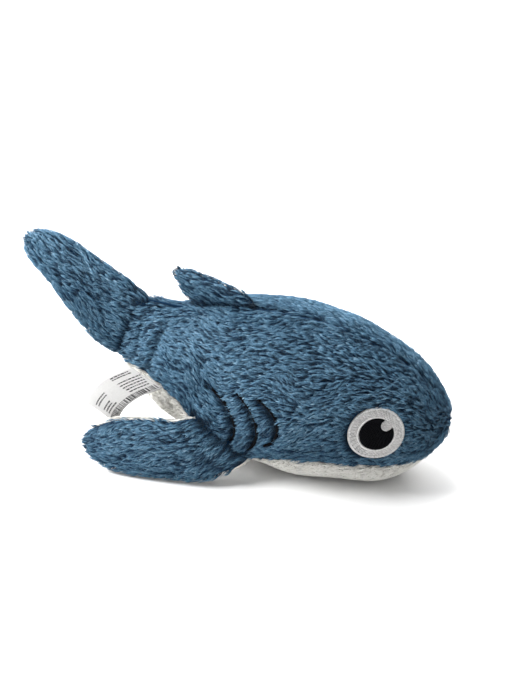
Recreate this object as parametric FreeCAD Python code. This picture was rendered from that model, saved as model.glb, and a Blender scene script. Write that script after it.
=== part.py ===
"""Plush shark: pile fabric panels sewn over separate stuffing, with embroidered eyes and gills.

Frame: +X towards the snout, +Y the shark's left, +Z up, origin on the belly's flat.
The toy is drawn upright about its own middle plane, then rolled onto its right fin.
"""
import math
import os

import FreeCAD
import Part

V = FreeCAD.Vector

# Driving dimensions, in millimetres and degrees
lean = 10.0
lean_height = 56.0
pile = 5.0
fin_fabric = 2.4
stuffing_gap = 0.3
seam_gap = 0.5
far = 300.0

# Body rings from the tail seam to the snout:
# x, y, centre height, half height, half width, backward tilt
body_rings = [
    (-105.0, 0.0, 85.5, 25.5, 12.0, 26.0),
    (-92.0, 0.0, 76.5, 33.5, 21.0, 22.0),
    (-74.0, 0.0, 66.8, 42.0, 30.0, 17.0),
    (-50.0, 0.0, 63.0, 47.5, 39.0, 9.0),
    (-25.0, 0.0, 58.0, 52.5, 46.0, 3.0),
    (0.0, 0.0, 53.7, 55.0, 49.0, 0.0),
    (28.0, 0.0, 50.5, 52.0, 47.0, 0.0),
    (52.0, 0.0, 45.5, 46.0, 42.0, 0.0),
    (70.0, 0.0, 43.5, 36.0, 35.0, 0.0),
    (82.0, 0.0, 42.5, 24.5, 25.5, 0.0),
    (90.0, 0.0, 41.5, 13.5, 14.5, 0.0),
    (94.0, 0.0, 40.5, 4.0, 4.5, 0.0),
]

# The belly seam's height along the body: low under the fin's root, high at the rear
belly_seam = [
    (-125.0, 66.0),
    (-100.0, 66.0),
    (-80.0, 61.0),
    (-64.0, 50.0),
    (-52.0, 33.0),
    (-38.0, 22.0),
    (-20.0, 23.0),
    (0.0, 30.0),
    (37.0, 31.0),
    (68.0, 28.0),
    (84.0, 25.0),
    (110.0, 24.0),
]

# Tail lobe rings, pinched thin where the lobe is sewn to the body
tail_rings = [
    (-106.2, 0.0, 86.1, 23.5, 1.5, 26.0),
    (-109.2, 0.0, 87.8, 26.0, 8.0, 26.5),
    (-119.0, 0.0, 95.0, 27.2, 12.5, 30.0),
    (-135.5, 0.0, 113.3, 22.0, 12.5, 37.0),
    (-148.0, 0.0, 127.5, 18.0, 11.0, 39.0),
    (-157.5, 0.0, 135.5, 15.5, 9.0, 40.0),
    (-165.0, 0.0, 141.5, 11.0, 6.0, 41.0),
    (-168.8, 0.0, 144.8, 4.5, 2.5, 41.0),
]
tail_seam_roll = 22.0

# Dorsal fin: height of the sewn root, then slices above it:
# rise, centre x, half length, half thickness
dorsal_root_height = 111.8
dorsal_slices = [
    (0.0, -47.5, 22.0, 0.8),
    (5.0, -51.5, 20.0, 4.6),
    (11.0, -60.0, 14.5, 4.6),
    (15.5, -67.5, 9.0, 3.6),
    (18.5, -72.0, 3.8, 1.8),
]

# Right pectoral fin, as it lies against the floor after the roll: thin root first
fin_rings = [
    (-40.5, -37.0, 29.0, 22.5, 1.5, -45.0),
    (-49.0, -40.0, 26.5, 23.5, 5.0, -38.0),
    (-62.0, -43.0, 22.8, 23.5, 7.5, -28.0),
    (-85.0, -43.5, 21.5, 21.5, 8.0, -12.0),
    (-106.0, -43.0, 20.3, 19.8, 7.0, 0.0),
    (-120.0, -42.0, 19.3, 15.0, 5.0, 5.0),
    (-128.0, -41.0, 19.3, 6.5, 2.5, 8.0),
]
left_fin_splay = 14.0

# Embroidery, on a bed sheared into the pile
eye_centre = V(56.4, -41.0, 54.9)
eye_turn = 22.0
eye_rise = 15.0
eye_radius = 16.8
pupil_radius = 10.2
highlight_radius = 3.7
highlight_offset = (6.4, 5.2)
bed_depth = 4.0
white_depth = 2.6
pupil_depth = 1.6
thread_depth = 1.8
gill_width = 2.0
gills = [
    ((-44.0, 72.5), (-30.5, 52.0), (-45.0, 27.5)),
    ((-27.5, 74.5), (-16.0, 53.0), (-27.5, 28.5)),
    ((-14.0, 73.5), (-2.5, 57.0), (-12.0, 40.0)),
]

# Care label: a folded strip sewn into the belly seam, hanging back and down
label_root = V(-89.5, -31.0, 63.5)
label_across = V(21.5, -3.0, -10.5)
label_width = 24.0
label_ply = 0.5
label_ply_gap = 0.3
label_path = [
    V(0.0, 0.0, 0.0),
    V(-9.5, -4.5, -3.5),
    V(-20.0, -5.5, -11.0),
    V(-28.0, -3.0, -21.0),
    V(-32.0, 0.5, -29.0),
]

# Stitching thread
thread = 0.4
thread_top = 2.6
thread_bottom = 4.2


def tilted(high, wide, tilt, turn):
    """A point on a rounded oval ring, relative to the ring's centre."""
    fullness = 2.0 / 2.2
    across = math.copysign(abs(math.cos(turn)) ** fullness, math.cos(turn))
    along = math.copysign(abs(math.sin(turn)) ** fullness, math.sin(turn))
    slope = math.radians(tilt)
    return V(high * along * math.sin(slope), wide * across, high * along * math.cos(slope))


def ring(row, depth):
    """A closed smooth wire round one ring, sunk below the surface by depth."""
    x, y, z, high, wide, tilt = row
    count = 28
    points = []
    for i in range(count):
        turn = 2.0 * math.pi * (i + 0.5) / count
        points.append(V(x, y, z) + tilted(high - depth, wide - depth, tilt, turn))
    curve = Part.BSplineCurve()
    curve.interpolate(Points=points, PeriodicFlag=True)
    return Part.Wire(curve.toShape())


def loft(rows, depth=0.0):
    """A solid through the rings, leaving out those too thin for that depth."""
    smallest = 0.7
    kept = [row for row in rows if min(row[3], row[4]) - depth >= smallest]
    return Part.makeLoft([ring(row, depth) for row in kept], True, False)


def curtain(points, corners, reach):
    """A prism whose one side is a smooth wall through the points, extruded by reach."""
    wall = Part.BSplineCurve()
    wall.interpolate(Points=points)
    outline = [points[-1]] + corners + [points[0]]
    edges = [wall.toShape()]
    for start, end in zip(outline, outline[1:]):
        edges.append(Part.makeLine(start, end))
    return Part.Face(Part.Wire(edges)).extrude(reach)


def below_belly_seam(shift):
    """Everything under the belly seam, raised by shift."""
    points = [V(x, -far, z + shift) for x, z in belly_seam]
    corners = [
        V(far, -far, points[-1].z),
        V(far, -far, -far),
        V(-far, -far, -far),
        V(-far, -far, points[0].z),
    ]
    return curtain(points, corners, V(0, 2 * far, 0))


def half_space(side, gap):
    """The half of space on one side of the middle plane, clear of it by half the gap."""
    start = gap / 2 if side > 0 else -far - gap / 2
    return Part.makeBox(2 * far, far, 2 * far, V(-far, start, -far))


def mirrored(shape):
    """The shape on the toy's other side."""
    return shape.mirror(V(0, 0, 0), V(0, 1, 0))


def rolled(shape, angle=lean):
    """The shape after the toy is rolled onto its right fin."""
    return shape.copy().rotate(V(0, 0, lean_height), V(1, 0, 0), angle)


def beyond_tail_seam(shift):
    """Everything behind the plane of the tail seam, moved forward by shift."""
    x, _, z, _, _, tilt = body_rings[0]
    box = Part.makeBox(far, 2 * far, 2 * far, V(-far + shift, -far, -far))
    box.rotate(V(0, 0, 0), V(0, 1, 0), tilt)
    box.translate(V(x, 0, z))
    return box


def eye_cylinder(radius, offset=(0.0, 0.0)):
    """A cylinder through the right eye along the head's normal there."""
    turn = math.radians(eye_turn)
    rise = math.radians(eye_rise)
    normal = V(math.sin(turn) * math.cos(rise), -math.cos(turn) * math.cos(rise), math.sin(rise))
    forward = V(math.cos(turn), math.sin(turn), 0)
    upward = forward.cross(normal) * -1.0
    centre = eye_centre + forward * offset[0] + upward * offset[1]
    return Part.makeCylinder(radius, 40.0, centre - normal * 20.0, normal)


def gill_prism(top, middle, bottom, width):
    """A curved band with round ends, run through the right side."""
    a, b, c = [V(x, -far, z) for x, z in (top, middle, bottom)]
    circle = Part.Arc(a, b, c).toShape().Curve
    centre = circle.Center
    half = width / 2
    edges = []
    for radius, order in ((circle.Radius + half, (a, b, c)), (circle.Radius - half, (c, b, a))):
        places = [centre + (p - centre).normalize() * radius for p in order]
        edges.append(Part.Arc(*places).toShape())
        end = order[2]
        outward = V(0, 1, 0).cross(end - centre).normalize() * half
        if outward.dot(b - end) > 0:
            outward = outward * -1.0
        other = circle.Radius - half if radius > circle.Radius else circle.Radius + half
        last = centre + (end - centre).normalize() * other
        edges.append(Part.Arc(places[2], end + outward, last).toShape())
    return Part.Face(Part.Wire(edges)).extrude(V(0, far - 8.0, 0))


def body_layers():
    """Solids of the body at each depth that its pieces need, by name."""
    depths = {
        "surface": 0.0,
        "pupil": pupil_depth,
        "white": white_depth,
        "gill": thread_depth,
        "bed": bed_depth,
        "thread_top": thread_top,
        "thread_bottom": thread_bottom,
        "lining": pile,
        "filling": pile + stuffing_gap,
    }
    layers = {name: loft(body_rings, depth) for name, depth in depths.items()}
    for name in ("lining", "filling", "bed"):
        layers[name] = layers[name].cut(beyond_tail_seam(depths[name]))
    return layers


def eye_pieces(layers):
    """The right eye's white ring and its pupil with a round highlight left open."""
    bed = layers["bed"]
    clearance = 0.1
    white = eye_cylinder(eye_radius - clearance).common(layers["white"]).cut(bed)
    disc = eye_cylinder(pupil_radius).cut(eye_cylinder(highlight_radius, highlight_offset))
    pupil = disc.common(layers["pupil"]).cut(layers["white"])
    return near_side(white), near_side(pupil)


def near_side(shape):
    """Only the solids on the right of the middle plane."""
    return Part.makeCompound([s for s in shape.Solids if s.CenterOfMass.y < 0])


def gill_pieces(layers):
    """Three satin-stitched bars on the right side."""
    clearance = 0.2
    prisms = [gill_prism(*gill, gill_width - clearance) for gill in gills]
    bars = [prism.common(layers["gill"]).cut(layers["bed"]) for prism in prisms]
    return Part.makeCompound([bar.Solids[0] for bar in bars])


def right_beds(layers):
    """What is sheared out of the right side's pile for the eye and the gills."""
    cutters = [eye_cylinder(eye_radius)]
    cutters.extend(gill_prism(*gill, gill_width) for gill in gills)
    return [cutter.common(half_space(-1, 0.0)).cut(layers["bed"]) for cutter in cutters]


def body_nodes():
    """Side panels, belly, stuffing, embroidery and the body's seam threads."""
    layers = body_layers()
    shell = layers["surface"].cut(layers["lining"])
    upper = shell.cut(below_belly_seam(seam_gap / 2))
    right = upper.common(half_space(-1, seam_gap))
    for bed in right_beds(layers):
        right = right.cut(bed)
    white, pupil = eye_pieces(layers)
    bars = gill_pieces(layers)
    stitch_layer = layers["thread_top"].cut(layers["thread_bottom"])
    slot = half_space(1, -thread).common(half_space(-1, -thread))
    strip = below_belly_seam(thread / 2).cut(below_belly_seam(-thread / 2))
    belly_thread = stitch_layer.common(strip)
    nodes = {
        "right_side_panel": right,
        "left_side_panel": mirrored(right),
        "belly_panel": shell.common(below_belly_seam(-seam_gap / 2)),
        "body_stuffing": layers["filling"],
        "eye_white_right": white,
        "eye_white_left": mirrored(white),
        "eye_pupil_right": pupil,
        "eye_pupil_left": mirrored(pupil),
        "gill_stitches_right": bars,
        "gill_stitches_left": mirrored(bars),
        "back_seam_thread": stitch_layer.common(slot).cut(below_belly_seam(1.0)),
        "belly_seam_thread_right": belly_thread.common(half_space(-1, 0.0)),
        "belly_seam_thread_left": belly_thread.common(half_space(1, 0.0)),
    }
    return {name: rolled(shape) for name, shape in nodes.items()}


def tail_nodes():
    """The tail lobe's two panels and stuffing, split along its rolled edge seam."""
    outer = loft(tail_rings)
    shell = outer.cut(loft(tail_rings, fin_fabric))
    start = tail_rings[0]
    end = tail_rings[-1]
    axis = V(end[0] - start[0], 0, end[2] - start[2])
    halves = []
    for side in (-1, 1):
        half = half_space(side, seam_gap)
        half.rotate(V(start[0], 0, start[2]), axis, -tail_seam_roll)
        halves.append(shell.common(half))
    nodes = {
        "tail_panel_right": halves[0],
        "tail_panel_left": halves[1],
        "tail_stuffing": loft(tail_rings, fin_fabric + stuffing_gap),
    }
    return {name: rolled(shape) for name, shape in nodes.items()}


def dorsal_ring(row, depth):
    """A level oval wire round one slice of the dorsal fin."""
    rise, x, length, thick = row
    count = 24
    points = []
    for i in range(count):
        turn = 2.0 * math.pi * (i + 0.5) / count
        along = (length - depth) * math.cos(turn)
        across = (thick - depth) * math.sin(turn)
        points.append(V(x + along, across, dorsal_root_height + rise))
    curve = Part.BSplineCurve()
    curve.interpolate(Points=points, PeriodicFlag=True)
    return Part.Wire(curve.toShape())


def dorsal_loft(depth):
    """The dorsal fin's solid, sunk below its surface by depth."""
    kept = [row for row in dorsal_slices if row[3] - depth >= 0.7]
    return Part.makeLoft([dorsal_ring(row, depth) for row in kept], True, False)


def dorsal_nodes():
    """The dorsal fin's two panels and its stuffing."""
    shell = dorsal_loft(0.0).cut(dorsal_loft(fin_fabric))
    nodes = {
        "dorsal_fin_panel_right": shell.common(half_space(-1, seam_gap)),
        "dorsal_fin_panel_left": shell.common(half_space(1, seam_gap)),
        "dorsal_fin_stuffing": dorsal_loft(fin_fabric + stuffing_gap),
    }
    return {name: rolled(shape) for name, shape in nodes.items()}


def beside_fin(side):
    """Everything on one side of the right fin's middle surface, clear of it by half the gap."""
    shift = side * seam_gap / 2
    points = [V(row[0], row[1] + shift, -far) for row in fin_rings]
    points.insert(0, V(0.0, -2.0 + shift, -far))
    points.append(V(-160.0, -36.0 + shift, -far))
    corners = [V(-160.0, side * far, -far), V(0.0, side * far, -far)]
    return curtain(points, corners, V(0, 0, 2 * far))


def fin_root():
    """A point on the right fin's sewn edge and the direction along that edge."""
    x, y, z, _, _, tilt = fin_rings[0]
    slope = math.radians(tilt)
    return V(x, y, z), V(math.sin(slope), 0, math.cos(slope))


def left_fin(shape):
    """The right fin's piece on the toy's left, splayed out about its sewn edge."""
    root, along = fin_root()
    splayed = shape.copy().rotate(root, along, left_fin_splay)
    return rolled(mirrored(rolled(splayed, -lean)))


def fin_nodes():
    """Both pectoral fins: outer and under panels with stuffing between them."""
    shell = loft(fin_rings).cut(loft(fin_rings, fin_fabric))
    pieces = {
        "outer_panel": shell.common(beside_fin(-1)),
        "under_panel": shell.common(beside_fin(1)),
        "stuffing": loft(fin_rings, fin_fabric + stuffing_gap),
    }
    nodes = {}
    for name, shape in pieces.items():
        nodes["pectoral_fin_right_" + name] = shape
        nodes["pectoral_fin_left_" + name] = left_fin(shape)
    return nodes


def label_nodes():
    """The care label's two plies, each a thin curved strip."""
    across = V(label_across).normalize()
    normal = (label_path[-1] - label_path[0]).cross(across).normalize()
    if normal.z < 0:
        normal = normal * -1.0
    wires = []
    for place in label_path:
        corners = []
        for side, level in ((-1, 0), (1, 0), (1, 1), (-1, 1)):
            sideways = across * (side * label_width / 2)
            corners.append(label_root + place + sideways + normal * (level * label_ply))
        wires.append(Part.makePolygon(corners + corners[:1]))
    front = Part.makeLoft(wires, True, True)
    back = front.copy()
    back.translate(normal * -(label_ply + label_ply_gap))
    return {"care_label_front": front, "care_label_back": back}


def on_floor(shape):
    """The shape with anything under the floor cut away, which flattens the belly."""
    if shape.BoundBox.ZMin >= 0:
        return shape
    return shape.cut(Part.makeBox(2 * far, 2 * far, far, V(-far, -far, -far)))


def main():
    os.makedirs("parts", exist_ok=True)
    nodes = {}
    for group in (body_nodes(), tail_nodes(), dorsal_nodes(), fin_nodes(), label_nodes()):
        nodes.update(group)
    for name, shape in nodes.items():
        on_floor(shape).exportStep(os.path.join("parts", name + ".step"))


main()
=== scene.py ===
"""Looks for the plush shark: padded skins, a combed pile of separate locks, embroidery and label."""
import math

import bmesh
import bpy
import numpy as np
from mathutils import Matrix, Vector, noise
from mathutils.bvhtree import BVHTree


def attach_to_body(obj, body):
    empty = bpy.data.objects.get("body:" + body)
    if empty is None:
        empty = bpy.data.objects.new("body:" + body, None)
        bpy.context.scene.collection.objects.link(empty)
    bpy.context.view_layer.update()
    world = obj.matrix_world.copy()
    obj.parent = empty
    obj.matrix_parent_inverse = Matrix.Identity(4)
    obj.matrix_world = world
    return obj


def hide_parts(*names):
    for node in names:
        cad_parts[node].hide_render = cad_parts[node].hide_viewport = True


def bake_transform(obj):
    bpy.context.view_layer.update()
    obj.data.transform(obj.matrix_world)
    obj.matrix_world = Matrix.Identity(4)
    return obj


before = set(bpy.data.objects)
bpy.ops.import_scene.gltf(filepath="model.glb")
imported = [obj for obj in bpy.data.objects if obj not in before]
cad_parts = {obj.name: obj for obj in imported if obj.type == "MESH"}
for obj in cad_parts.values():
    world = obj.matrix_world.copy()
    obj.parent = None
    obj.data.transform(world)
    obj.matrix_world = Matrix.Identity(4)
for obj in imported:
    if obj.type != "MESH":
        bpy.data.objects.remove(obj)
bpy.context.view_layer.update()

# The toy's own shape in millimetres, drawn upright and then rolled onto its right fin
MM = 0.001
LEAN = math.radians(10.0)
LEAN_HEIGHT = 56.0
FULLNESS = 2.0 / 2.2

# Rings: x, y, centre height, half height, half width, backward tilt in degrees
BODY_RINGS = [
    (-105.0, 0.0, 85.5, 25.5, 12.0, 26.0),
    (-92.0, 0.0, 76.5, 33.5, 21.0, 22.0),
    (-74.0, 0.0, 66.8, 42.0, 30.0, 17.0),
    (-50.0, 0.0, 63.0, 47.5, 39.0, 9.0),
    (-25.0, 0.0, 58.0, 52.5, 46.0, 3.0),
    (0.0, 0.0, 53.7, 55.0, 49.0, 0.0),
    (28.0, 0.0, 50.5, 52.0, 47.0, 0.0),
    (52.0, 0.0, 45.5, 46.0, 42.0, 0.0),
    (70.0, 0.0, 43.5, 36.0, 35.0, 0.0),
    (82.0, 0.0, 42.5, 24.5, 25.5, 0.0),
    (90.0, 0.0, 41.5, 13.5, 14.5, 0.0),
    (94.0, 0.0, 40.5, 4.0, 4.5, 0.0),
]
TAIL_RINGS = [
    (-102.0, 0.0, 84.0, 24.5, 9.5, 26.0),
    (-105.0, 0.0, 85.5, 25.5, 11.0, 26.0),
    (-109.2, 0.0, 87.8, 26.6, 11.6, 26.5),
    (-119.0, 0.0, 95.0, 27.2, 12.5, 30.0),
    (-135.5, 0.0, 113.3, 22.0, 12.5, 37.0),
    (-148.0, 0.0, 127.5, 18.0, 11.0, 39.0),
    (-157.5, 0.0, 135.5, 15.5, 9.0, 40.0),
    (-165.0, 0.0, 141.5, 11.0, 6.0, 41.0),
    (-168.8, 0.0, 144.8, 4.5, 2.5, 41.0),
]
FIN_RINGS = [
    (-36.0, -30.0, 31.0, 22.0, 4.0, -45.0),
    (-40.5, -36.0, 29.0, 22.5, 4.5, -45.0),
    (-49.0, -40.0, 26.5, 23.5, 6.0, -38.0),
    (-62.0, -43.0, 22.8, 23.5, 7.5, -28.0),
    (-85.0, -43.5, 21.5, 21.5, 8.0, -12.0),
    (-106.0, -43.0, 20.3, 19.8, 7.0, 0.0),
    (-120.0, -42.0, 19.3, 15.0, 5.0, 5.0),
    (-128.0, -41.0, 19.3, 6.5, 2.5, 8.0),
]
FIN_ROOT = (-40.5, -37.0, 29.0)
# Middle of the body's puff over the right fin's seam, as x and height of the leaning toy
SADDLE = np.array([-79.0, 104.0])
OVERHANG = np.array([(-53.0, 42.0), (-44.0, 28.0), (-30.0, 22.0)])
FIN_ROOT_TILT = math.radians(-45.0)
LEFT_FIN_SPLAY = math.radians(14.0)
BELLY_SEAM = [
    (-125.0, 66.0),
    (-100.0, 66.0),
    (-80.0, 61.0),
    (-64.0, 50.0),
    (-52.0, 33.0),
    (-38.0, 22.0),
    (-20.0, 23.0),
    (0.0, 30.0),
    (37.0, 31.0),
    (68.0, 28.0),
    (84.0, 25.0),
    (110.0, 24.0),
]
TAIL_SEAM_ROLL = math.radians(22.0)
DORSAL_ROOT = 111.8
# Rise, centre x, half length, half thickness
DORSAL_SLICES = [
    (-5.0, -45.0, 21.0, 3.0),
    (0.0, -47.5, 22.0, 3.4),
    (5.0, -51.5, 20.0, 4.6),
    (11.0, -60.0, 14.5, 4.6),
    (15.5, -67.5, 9.0, 3.6),
    (18.5, -72.0, 3.8, 1.8),
]

# Pile and cloth
SIDE_DEPTH = 3.8
LIMB_DEPTH = 3.0
BELLY_DEPTH = 1.7
CLOTH = 0.8
LONG_PILE = 6.0
SHORT_PILE = 3.0
LOCK_AREA = 3.0
STRANDS_PER_LOCK = 6
STRAND_WIDTH = 0.36
UNDERCOAT_AREA = 1.5
WHITE_LOCK_AREA = 1.4

# The care label: places along its middle from the sewn edge, and the way its width runs
LABEL_ROOT = np.array([-89.5, -31.0, 63.5])
LABEL_ACROSS = np.array([21.5, -3.0, -10.5])
LABEL_WIDTH = 24.0
LABEL_PLY = 0.3
LABEL_PATH = [
    (0.0, 0.0, 0.0),
    (-9.5, -4.5, -3.5),
    (-20.0, -5.5, -11.0),
    (-28.0, -3.0, -21.0),
    (-32.0, 0.5, -29.0),
]

# Embroidery
THREAD = 0.56
EYE_CENTRE = np.array([56.4, -41.0, 54.9])
EYE_TURN = math.radians(22.0)
EYE_RISE = math.radians(15.0)
EYE_RADIUS = 16.8
PUPIL_RADIUS = 10.2
HIGHLIGHT_RADIUS = 3.7
HIGHLIGHT_OFFSET = (6.4, 5.2)
GILL_WIDTH = 2.0
GILLS = [
    ((-44.0, 72.5), (-30.5, 52.0), (-45.0, 27.5)),
    ((-27.5, 74.5), (-16.0, 53.0), (-27.5, 28.5)),
    ((-14.0, 73.5), (-2.5, 57.0), (-12.0, 40.0)),
]

random = np.random.default_rng(7)


# Shape helpers


def roll(points, angle=LEAN):
    """Points after the upright toy is rolled about its long axis."""
    points = np.asarray(points, float)
    turned = points.copy()
    y = points[..., 1]
    z = points[..., 2] - LEAN_HEIGHT
    turned[..., 1] = y * math.cos(angle) - z * math.sin(angle)
    turned[..., 2] = z * math.cos(angle) + y * math.sin(angle) + LEAN_HEIGHT
    return turned


def unroll(points):
    """Points of the rolled toy, back in the upright one."""
    return roll(points, -LEAN)


def turn_about(points, origin, axis, angle):
    """Points turned about a line."""
    axis = np.asarray(axis) / np.linalg.norm(axis)
    offset = np.asarray(points, float) - origin
    along = (offset @ axis)[..., None] * axis
    across = np.cross(axis, offset)
    return origin + along + (offset - along) * math.cos(angle) + across * math.sin(angle)


def smooth_rows(rows, places):
    """Rows of numbers read between their entries, along a curve that never overshoots."""
    rows = np.asarray(rows, float)
    steps = np.diff(rows, axis=0)
    slopes = np.zeros_like(rows)
    before, after = steps[:-1], steps[1:]
    same = before * after > 0
    total = np.where(same, before + after, 1.0)
    slopes[1:-1] = np.where(same, 2.0 * before * after / total, 0.0)
    slopes[0] = steps[0]
    slopes[-1] = steps[-1]
    position = np.clip(places, 0, 1) * (len(rows) - 1)
    i = np.minimum(position.astype(int), len(rows) - 2)
    t = (position - i)[:, None]
    h00 = 2 * t**3 - 3 * t**2 + 1
    h10 = t**3 - 2 * t**2 + t
    h01 = 3 * t**2 - 2 * t**3
    h11 = t**3 - t**2
    return h00 * rows[i] + h10 * slopes[i] + h01 * rows[i + 1] + h11 * slopes[i + 1]


def even_places(rows, count):
    """Places along the rows, spaced evenly by the distance that centre and size travel."""
    fine = np.linspace(0, 1, 600)
    values = smooth_rows(rows, fine)
    travel = np.abs(np.diff(values[:, [0, 2, 3, 4]], axis=0)).sum(1)
    distance = np.concatenate([[0], np.cumsum(travel)])
    return np.interp(np.linspace(0, distance[-1], count), distance, fine)


def sector_turns(edges, counts):
    """Angles round a ring, in sectors between the edges, which may differ from ring to ring."""
    parts = []
    for start, end, count in zip(edges[:-1], edges[1:], counts):
        share = np.arange(count) / count
        parts.append(np.multiply.outer(np.asarray(start, float), 1 - share) + np.multiply.outer(end, share))
    return np.radians(np.concatenate(parts, axis=-1))


def ring_points(rings, turns, depth, least=0.42):
    """Points round each ring at the given angles, sunk below the surface by depth."""
    cy = np.sign(np.cos(turns)) * np.abs(np.cos(turns)) ** FULLNESS
    cz = np.sign(np.sin(turns)) * np.abs(np.sin(turns)) ** FULLNESS
    x, y, z, high, wide, tilt = [column[:, None] for column in rings.T]
    high = np.maximum(high - depth, least * high)
    wide = np.maximum(wide - depth, least * wide)
    slope = np.radians(tilt)
    lift = high * cz
    return np.stack([x + lift * np.sin(slope), y + wide * cy, z + lift * np.cos(slope)], axis=-1)


def ring_grid(rows, along, turns, depth, least=0.42, reach=1.0):
    """A grid of points on the lofted rings, which may stop short of the last one."""
    rings = smooth_rows(rows, even_places(rows, along) * reach)
    return ring_points(rings, turns, depth, least)


def slice_grid(slices, root, along, turns, depth, least=0.42, reach=1.0):
    """A grid of points on the dorsal fin's level slices."""
    rows = smooth_rows(slices, np.linspace(0, reach, along))
    rise, x, length, thick = [column[:, None] for column in rows.T]
    length = np.maximum(length - depth, least * length)
    thick = np.maximum(thick - depth, least * thick)
    return np.stack([x + length * np.cos(turns), thick * np.sin(turns), root + rise + 0 * turns], axis=-1)


def grid_normals(grid):
    """Outward unit normals of a closed-round grid, and its unit direction along the rows."""
    along = np.gradient(grid, axis=0)
    around = np.roll(grid, -1, axis=1) - np.roll(grid, 1, axis=1)
    normals = np.cross(around, along)
    normals /= np.linalg.norm(normals, axis=-1, keepdims=True) + 1e-9
    outward = ((grid - grid.mean(axis=1, keepdims=True)) * normals).sum()
    if outward < 0:
        normals = -normals
    along /= np.linalg.norm(along, axis=-1, keepdims=True) + 1e-9
    return normals, along


def noise_at(points, wavelength, seed):
    """Three smooth noise values from -1 to 1 for each point."""
    shifted = np.asarray(points) / wavelength + seed * 17.3
    return np.array([noise.noise_vector(Vector(p)) for p in shifted])


def seam_height(x):
    """Height of the belly seam at x, on the upright toy."""
    xs, zs = np.array(BELLY_SEAM).T
    return np.interp(x, xs, zs)


def stuffed(grid, seams, lump=0.7, wavelength=26.0, seed=1):
    """The grid with the soft lumps of its filling and a groove along each seam."""
    normals, _ = grid_normals(grid)
    flat = grid.reshape(-1, 3)
    push = noise_at(flat, wavelength, seed)[:, 0] * lump
    for distance, depth, width in seams:
        push -= depth * np.exp(-((distance.reshape(-1) / width) ** 2))
    return grid + normals * push.reshape(grid.shape[:2])[..., None]


# Mesh helpers


def plain_mesh(name, points, faces):
    """A smooth object from millimetre points and faces of any number of corners."""
    mesh = bpy.data.meshes.new(name)
    mesh.from_pydata((np.asarray(points) * MM).tolist(), [], [tuple(face) for face in faces])
    mesh.polygons.foreach_set("use_smooth", np.ones(len(mesh.polygons), bool))
    mesh.update()
    piece = bpy.data.objects.new(name, mesh)
    bpy.context.scene.collection.objects.link(piece)
    return piece


def quads(rows, columns, closed, start=0):
    """Quads of a grid, joined round its columns if closed."""
    i, j = np.meshgrid(np.arange(rows - 1), np.arange(columns if closed else columns - 1), indexing="ij")
    k = (j + 1) % columns
    corners = [i * columns + j, i * columns + k, (i + 1) * columns + k, (i + 1) * columns + j]
    return (np.stack(corners, axis=-1).reshape(-1, 4) + start).tolist()


def sealed_mesh(name, points, faces):
    """A closed object whose faces are turned to face out."""
    piece = plain_mesh(name, points, faces)
    shape = bmesh.new()
    shape.from_mesh(piece.data)
    bmesh.ops.recalc_face_normals(shape, faces=shape.faces)
    shape.to_mesh(piece.data)
    shape.free()
    return piece


def blob(name, grid):
    """A closed solid inside a closed-round grid."""
    rows, columns = grid.shape[:2]
    faces = quads(rows, columns, True)
    faces.append(list(range(columns)))
    faces.append([(rows - 1) * columns + j for j in range(columns)])
    return sealed_mesh(name, grid.reshape(-1, 3), faces)


def sheet_of(name, outer, normals, thickness):
    """A sheet of that thickness below an open grid of points."""
    rows, columns = outer.shape[:2]
    inner = outer - normals * thickness
    count = rows * columns
    faces = quads(rows, columns, False)
    faces += [face[::-1] for face in quads(rows, columns, False, count)]
    border = [j for j in range(columns - 1)]
    border += [i * columns + columns - 1 for i in range(rows - 1)]
    border += [(rows - 1) * columns + j for j in range(columns - 1, 0, -1)]
    border += [i * columns for i in range(rows - 1, 0, -1)]
    for a, b in zip(border, border[1:] + border[:1]):
        faces.append([b, a, a + count, b + count])
    points = np.concatenate([outer.reshape(-1, 3), inner.reshape(-1, 3)])
    return sealed_mesh(name, points, faces)


def panel(name, grid, first, count):
    """A sewn panel: the cloth over a run of a closed-round grid's columns."""
    normals, _ = grid_normals(grid)
    columns = (first + np.arange(count + 1)) % grid.shape[1]
    return sheet_of(name, grid[:, columns], normals[:, columns], CLOTH)


def fibres(name, paths, ups, widths, tones, flatness=0.5):
    """One mesh of many thin closed fibres: a three-sided tube round each path, ending in a point."""
    count, steps, _ = paths.shape
    tangents = np.gradient(paths, axis=1)
    tangents /= np.linalg.norm(tangents, axis=-1, keepdims=True) + 1e-9
    sides = np.cross(tangents, ups[:, None, :])
    sides /= np.linalg.norm(sides, axis=-1, keepdims=True) + 1e-9
    tops = np.cross(sides, tangents)
    half = widths[..., None] * 0.5
    body = np.stack([paths - sides * half, paths + sides * half, paths + tops * half * 2 * flatness], axis=2)
    rings = body[:, :-1].reshape(count, -1, 3)
    points = np.concatenate([rings, paths[:, -1:, :]], axis=1)
    per_fibre = 3 * (steps - 1) + 1
    pattern = [(0, 1, 2)]
    for k in range(steps - 2):
        for a in range(3):
            b = (a + 1) % 3
            low, high = 3 * k, 3 * (k + 1)
            pattern.append((low + a, high + a, low + b))
            pattern.append((low + b, high + a, high + b))
    last = 3 * (steps - 2)
    for a in range(3):
        pattern.append((last + a, per_fibre - 1, last + (a + 1) % 3))
    pattern = np.array(pattern)
    faces = (pattern[None] + (np.arange(count) * per_fibre)[:, None, None]).reshape(-1, 3)
    ring_tones = np.repeat(tones[:, :-1], 3, axis=1)
    point_tones = np.concatenate([ring_tones, tones[:, -1:]], axis=1)
    return triangle_mesh(name, points.reshape(-1, 3), faces, point_tones.reshape(-1))


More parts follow.
